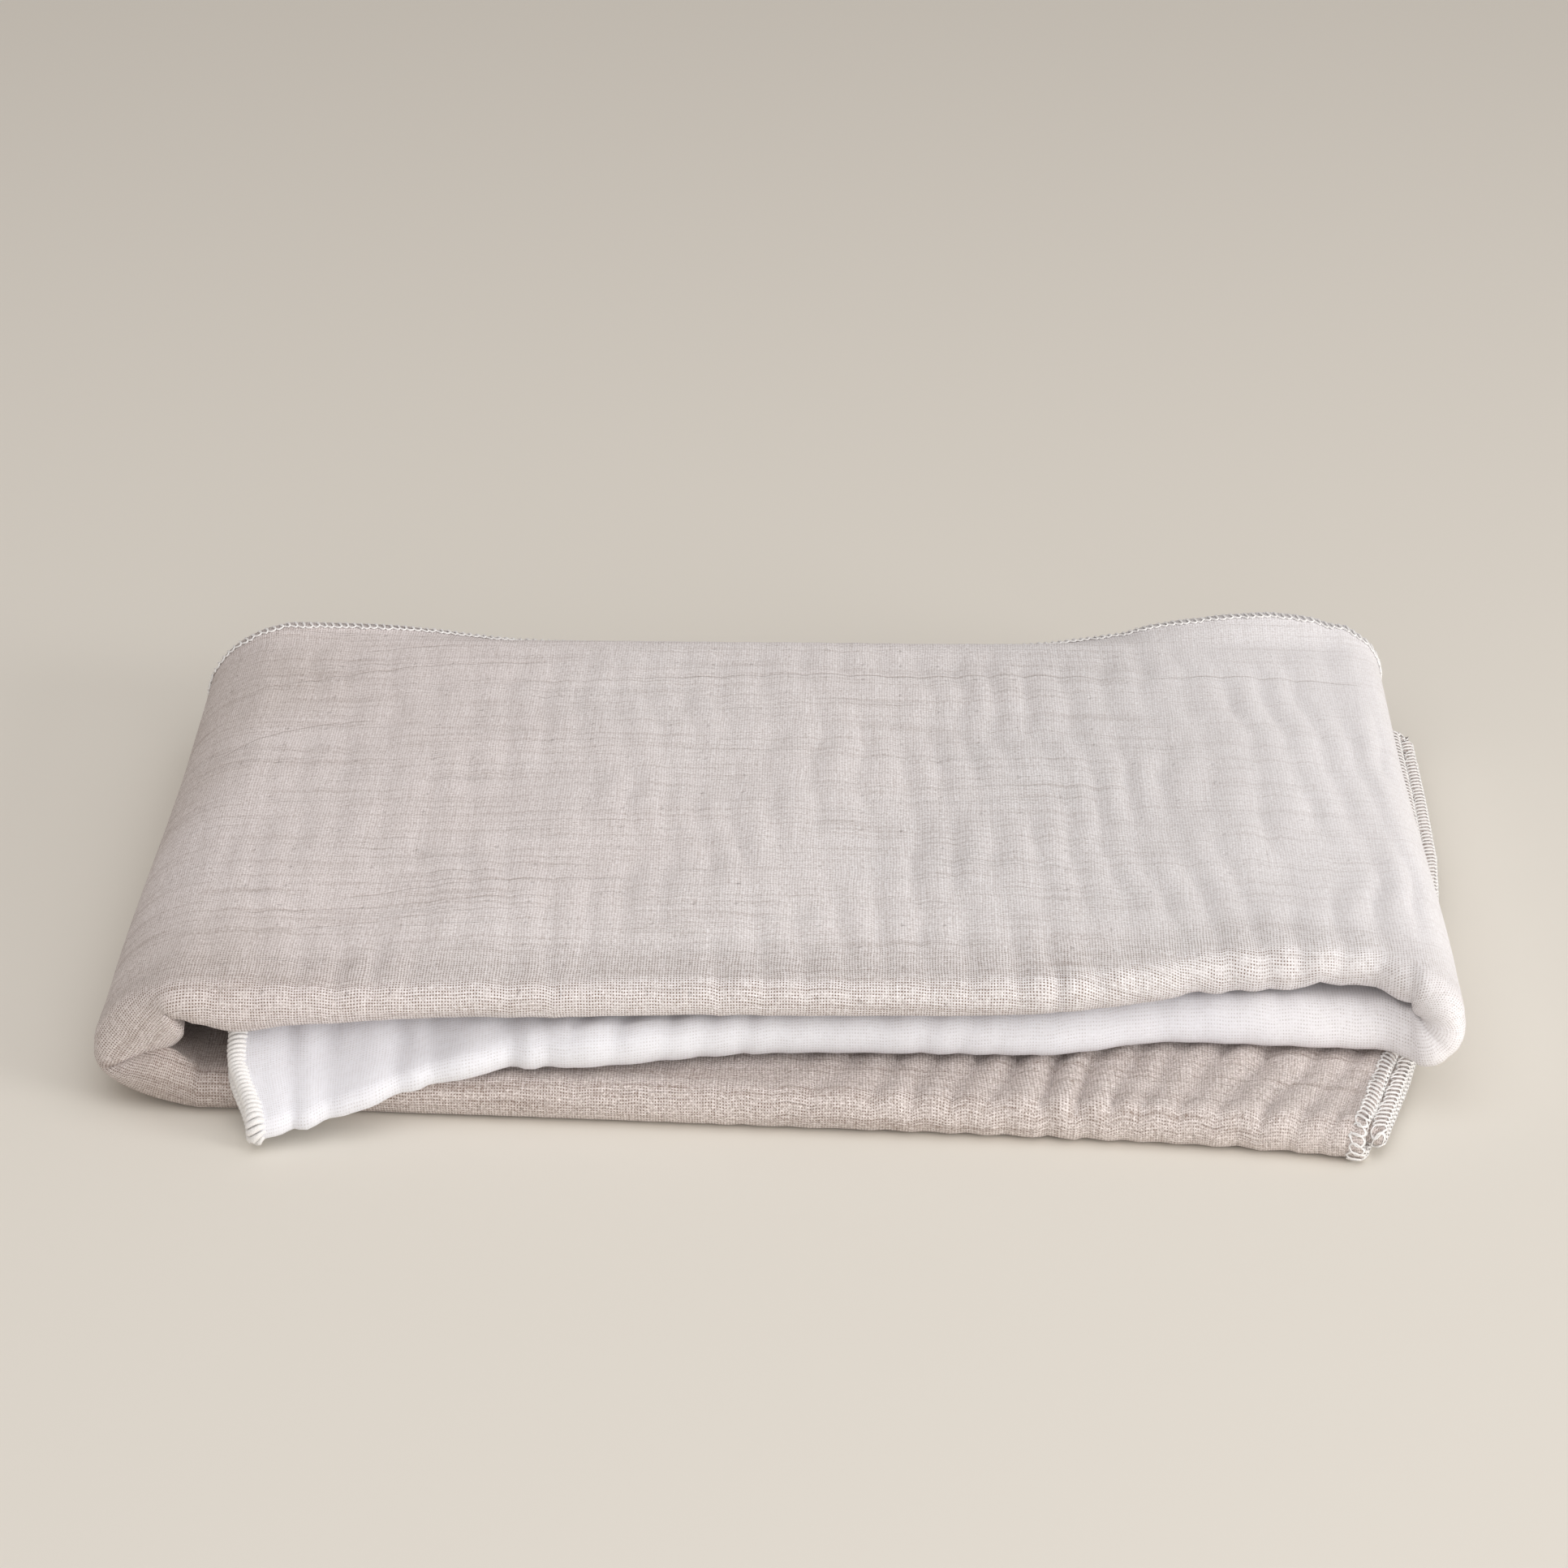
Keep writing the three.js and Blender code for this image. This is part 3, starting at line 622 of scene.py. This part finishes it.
    # where it is darker, above all in the painted shade, it is a little warmer as well, as light bounced between
    # the folds of the cloth is
    addNode(tree, "warm", "VectorMath MULTIPLY_ADD", (shade, (1.0, 1.12, 1.2), (0.0, -0.12, -0.2)))
    addNode(tree, "dyeDrift", "Math MULTIPLY_ADD", ("patchyDye", 0.12, -0.06))
    addNode(tree, "dyePlace", "Math MULTIPLY_ADD", ("metres.X", 1 / clothSpec["flat"][1], "dyeDrift"))
    # the dye ramp, with painted shade at its 0.30 and 0.69 stops
    dye = addNode(tree, "dye", "ValToRGB", ("dyePlace",)).color_ramp
    dye.interpolation = "EASE"
    setStops(dye, g["dye"])
    for row in (
            ("threads", "VectorMath MULTIPLY", ("dye", "warm")),
            # painted shade in the holes
            ("colour", "Mix RGBA", {0: "holeShare", 6: "threads", 7: linear(g["hole"])}),
            # relief: threads, holes, crease lines, fuzz and dimples
            ("threadRelief", "Math SUBTRACT", ("rows", "hole")),
            ("creaseRelief", "Math MULTIPLY_ADD", (crease, -1.2, "threadRelief")),
            ("fuzzRelief", "Math MULTIPLY_ADD", ("fuzz", 0.7, "creaseRelief")),
            ("dyedRelief", "Math MULTIPLY", ("fuzzRelief", "dyed")),
            ("height", "Math MULTIPLY_ADD", ("dimple", -1.6, "dyedRelief")),
            ("bump", "Bump", {"Strength": 1.0, "Distance": g["relief"] * mm, "Height": "height"}),
            ("gauze", "BsdfPrincipled", {"Base Color": "colour.2", "Normal": "bump", "Roughness": 0.95,
                                         "Sheen Weight": 0.2, "Sheen Roughness": 0.5, "Specular IOR Level": 0.15}),
            ("output", "OutputMaterial", {"Surface": "gauze"})):
        addNode(tree, *row)
    return material


sheet.data.materials.clear()
sheet.data.materials.append(makeGauze())
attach(sheet, "root")
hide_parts("swaddle_cloth")
print("gauze on the cloth")

# The overlocked edges: loops of thread over both faces, and a denser cord of wraps round the loose end. In mm.
stitchSpec = {
    "pitch": 2.5,
    "width": 4.4,
    "thread": 0.36,  # radius
    "past": 0.45,  # how far a loop reaches past the edge
    "loop": 0.6,  # half a loop's length, in pitches
    "slant": 0.4,
    "clearance": 0.7,  # thread radii between a loop and the cloth
    "round": (0.5, 1.1),  # past the edge and over how much it comes down
    "arch": 0.35,
    "inset": (4 / 360, 4 / 250),  # a little way in from an edge, as a share of a third and of a run
    "swing": (1.7, 0.25), "stretch": 0.35,  # how unevenly the loops lie
    "loosen": 0.26,
    "seed": 41,
}
cordSpec = {
    "pitch": 1.6,
    "width": 4.8,
    "height": 3.6,
    "past": 1.1,
    "thread": 0.4,  # of a wrap's radius
    "wrap": 1.5,  # half a wrap's length, in pitches
    "slant": 0.35,
    "core": 0.25,  # how far inside the wraps the rolled edge lies
    "loosen": 0.08,
}
threadSpec = {"light": "#ffffff", "shade": "#e9e6e3", "fibres": 3200.0, "relief": 0.12}


def makeThread():
    material = bpy.data.materials.new("spun_polyester_thread")  # white, matte, slightly fuzzy twist
    material.use_nodes = True
    tree = material.node_tree
    tree.nodes.clear()
    addNode(tree, "place", "TexCoord")
    addNode(tree, "fibres", "TexNoise 3D", {"Vector": "place.Object", "Scale": threadSpec["fibres"], "Detail": 2.0})
    tint = addNode(tree, "tint", "ValToRGB", ("fibres",)).color_ramp
    setStops(tint, ((0.3, threadSpec["shade"]), (0.65, threadSpec["light"])))
    addNode(tree, "bump", "Bump", {"Strength": 0.6, "Distance": threadSpec["relief"] * mm, "Height": "fibres"})
    addNode(tree, "thread", "BsdfPrincipled",
            {"Base Color": "tint", "Normal": "bump", "Roughness": 0.75, "Sheen Weight": 0.3})
    addNode(tree, "output", "OutputMaterial", {"Surface": "thread"})
    return material


thread = makeThread()


# An edge of the cloth: the way along it, its points, and the directions into the cloth and out of its face
def edgeFrames(kind):
    insetAlong, insetAcross = stitchSpec["inset"]
    if kind in ("start", "end"):
        runs, shares = zip(*stations([(run, low, high, 2 * count) for run, low, high, count in acrossSteps]))
        places = [0.0, insetAlong] if kind == "start" else [5.0, 5.0 - insetAlong]
        edge, inside = foldCloth(np.array(places), runs, shares)
    else:
        at = np.array([share for _, share in stations(alongSteps)])
        run, low, high = (0, 0.0, insetAcross) if kind == "outer" else (7, 1.0, 1 - insetAcross)
        grid = foldCloth(at, [run, run], [low, high])
        edge, inside = grid[:, 0], grid[:, 1]
    length = np.concatenate([[0], np.cumsum(np.linalg.norm(np.diff(edge, axis=0), axis=1))])
    inward = inside - edge
    inward /= np.linalg.norm(inward, axis=1)[:, None]
    ahead = np.gradient(edge, length, axis=0)
    ahead /= np.linalg.norm(ahead, axis=1)[:, None]
    normal = np.cross(ahead, inward)
    normal /= np.linalg.norm(normal, axis=1)[:, None]
    return length, edge, inward, normal


# Lays a straight row of stitches along an edge, each a little differently
def bendAlong(piece, kind, pitch, loosen):
    s = stitchSpec
    length, edge, inward, normal = edgeFrames(kind)
    mesh = piece.data
    co = np.empty(len(mesh.vertices) * 3)
    mesh.vertices.foreach_get("co", co)
    co = co.reshape(-1, 3) / mm
    stitch = np.clip(np.floor(co[:, 0] / pitch).astype(int), 0, None)
    sway = np.random.RandomState(s["seed"]).normal(0, 1, (stitch.max() + 2, 3)) * loosen
    swingFrom, swing = s["swing"]
    x = np.clip(co[:, 0] + swing * sway[stitch, 0] * (co[:, 1] - swingFrom), 0, length[-1])
    y = co[:, 1] * (1 + s["stretch"] * sway[stitch, 1])
    spot, inwardAt, normalAt = (np.stack([np.interp(x, length, v[:, k]) for k in range(3)], -1)
                                for v in (edge, inward, normal))
    placed = spot + inwardAt * y[:, None] + normalAt * co[:, 2:]
    mesh.vertices.foreach_set("co", (placed * mm).ravel())
    mesh.update()


def repeatRow(piece, pitch, count, joined=False):
    rows = piece.modifiers.new("row", "ARRAY")
    rows.use_relative_offset = False
    rows.use_constant_offset = True
    rows.constant_offset_displace = (pitch * mm, 0, 0)
    rows.use_merge_vertices = joined
    rows.merge_threshold = 0.00001
    rows.count = count
    bpy.ops.object.modifier_apply(modifier=rows.name)


def finishThread(piece):
    bpy.ops.object.shade_smooth()
    piece.data.materials.append(thread)
    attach(piece, "root")
    return piece


def sewEdge(name, kind, side):
    s = stitchSpec
    pitch, radius = s["pitch"], s["width"] / 2
    bpy.ops.object.select_all(action="DESELECT")
    bpy.ops.mesh.primitive_torus_add(major_segments=14, minor_segments=4, major_radius=radius * mm,
                                     minor_radius=s["thread"] * mm,
                                     location=(s["loop"] * pitch * mm, (radius - s["past"]) * mm, 0))
    loop = bpy.context.object
    loop.name = name
    loop.scale = (s["loop"] * pitch / radius, 1, 1)
    bpy.ops.object.transform_apply(location=True, rotation=True, scale=True)
    # over the face of the cloth and down over its edge
    top = clothSpec["shown"] / 2 + s["thread"] * s["clearance"]
    past, over = s["round"]
    for vertex in loop.data.vertices:
        y = vertex.co.y / mm
        lifted = 0.1 + 0.9 * math.sqrt(min(max((y + past) / over, 0), 1))
        arched = math.sin(min(max(y / s["width"], 0), 1) * math.pi)
        vertex.co.x += s["slant"] * (y - radius) * mm
        vertex.co.z += side * (top * lifted + s["arch"] * arched) * mm
    repeatRow(loop, pitch, int(edgeFrames(kind)[0][-1] / pitch) - 1)
    bendAlong(loop, kind, pitch, s["loosen"])
    return finishThread(loop)


def corded(name):
    s = cordSpec
    pitch, width, height = s["pitch"], s["width"] / 2, s["height"] / 2
    count = int(edgeFrames("end")[0][-1] / pitch) - 1
    bpy.ops.object.select_all(action="DESELECT")
    bpy.ops.mesh.primitive_torus_add(major_segments=12, minor_segments=6, major_radius=1, minor_radius=s["thread"],
                                     rotation=(0, math.radians(90), 0))
    wrap = bpy.context.object
    wrap.name = name
    wrap.scale = (s["wrap"] * pitch * mm, width * mm, height * mm)
    bpy.ops.object.transform_apply(location=True, rotation=True, scale=True)
    for vertex in wrap.data.vertices:
        vertex.co.x += pitch / 2 * mm + s["slant"] * vertex.co.y
        vertex.co.y += (width - s["past"]) * mm
    repeatRow(wrap, pitch, count)
    # the cloth's own edge, rolled up inside the wraps
    bpy.ops.object.select_all(action="DESELECT")
    bpy.ops.mesh.primitive_cylinder_add(vertices=10, radius=1, depth=pitch * mm, end_fill_type="NOTHING",
                                        rotation=(0, math.radians(90), 0))
    core = bpy.context.object
    bpy.ops.object.transform_apply(location=False, rotation=True, scale=False)
    for vertex in core.data.vertices:
        vertex.co.x += pitch * mm
        vertex.co.y = (vertex.co.y * (width - s["core"]) + width - s["past"]) * mm
        vertex.co.z *= (height - s["core"]) * mm
    repeatRow(core, pitch, count - 1, joined=True)
    wrap.select_set(True)
    bpy.context.view_layer.objects.active = wrap
    bpy.ops.object.join()
    bendAlong(wrap, "end", pitch, s["loosen"])
    return finishThread(wrap)


threads = [corded("overlock_end_cord")]
for kind in ("start", "outer", "inner"):
    for side, word in ((1, "over"), (-1, "under")):
        threads.append(sewEdge(f"overlock_{kind}_{word}", kind, side))
print("overlock sewn", len(threads))

# A pale table, and soft light from above, from the window on the right and from the front
floorSpec = {"colour": "#ebe7de", "roughness": 0.9, "size": 14.0}
bpy.ops.object.select_all(action="DESELECT")
bpy.ops.mesh.primitive_plane_add(size=floorSpec["size"], location=(0, 1.0, 0))
floor = bpy.context.object
floor.name = "studio_table"
paper = bpy.data.materials.new("matte_backdrop_paper")  # plain, warm white and without gloss
paper.use_nodes = True
paper.node_tree.nodes["Principled BSDF"].inputs["Base Color"].default_value = linear(floorSpec["colour"])
paper.node_tree.nodes["Principled BSDF"].inputs["Roughness"].default_value = floorSpec["roughness"]
floor.data.materials.append(paper)

lightSpec = {
    # place, size, watts, colour
    "overhead": ((0.15, -0.62, 1.6), 2.6, 16.6, "#fffeff"),
    "window": ((2.0, -1.1, 0.6), 0.95, 23.5, "#fffdfa"),
    "front": ((0.3, -3.2, 0.6), 2.4, 22.5, "#fffeff"),
}
for name, (place, size, watts, colour) in lightSpec.items():
    bpy.ops.object.light_add(type="AREA", location=place)
    lamp = bpy.context.object
    lamp.name = name
    lamp.data.size = size
    lamp.data.energy = watts
    lamp.data.color = linear(colour)[:3]
    lamp.rotation_euler = (-Vector(place)).to_track_quat("-Z", "Y").to_euler()
airSpec = {"colour": "#f6eee7", "strength": 0.43}
world = bpy.data.worlds.new("studio_air")
bpy.context.scene.world = world
world.use_nodes = True
world.node_tree.nodes["Background"].inputs["Color"].default_value = linear(airSpec["colour"])
world.node_tree.nodes["Background"].inputs["Strength"].default_value = airSpec["strength"]
bpy.context.scene.view_settings.view_transform = "Standard"
print("lights on")
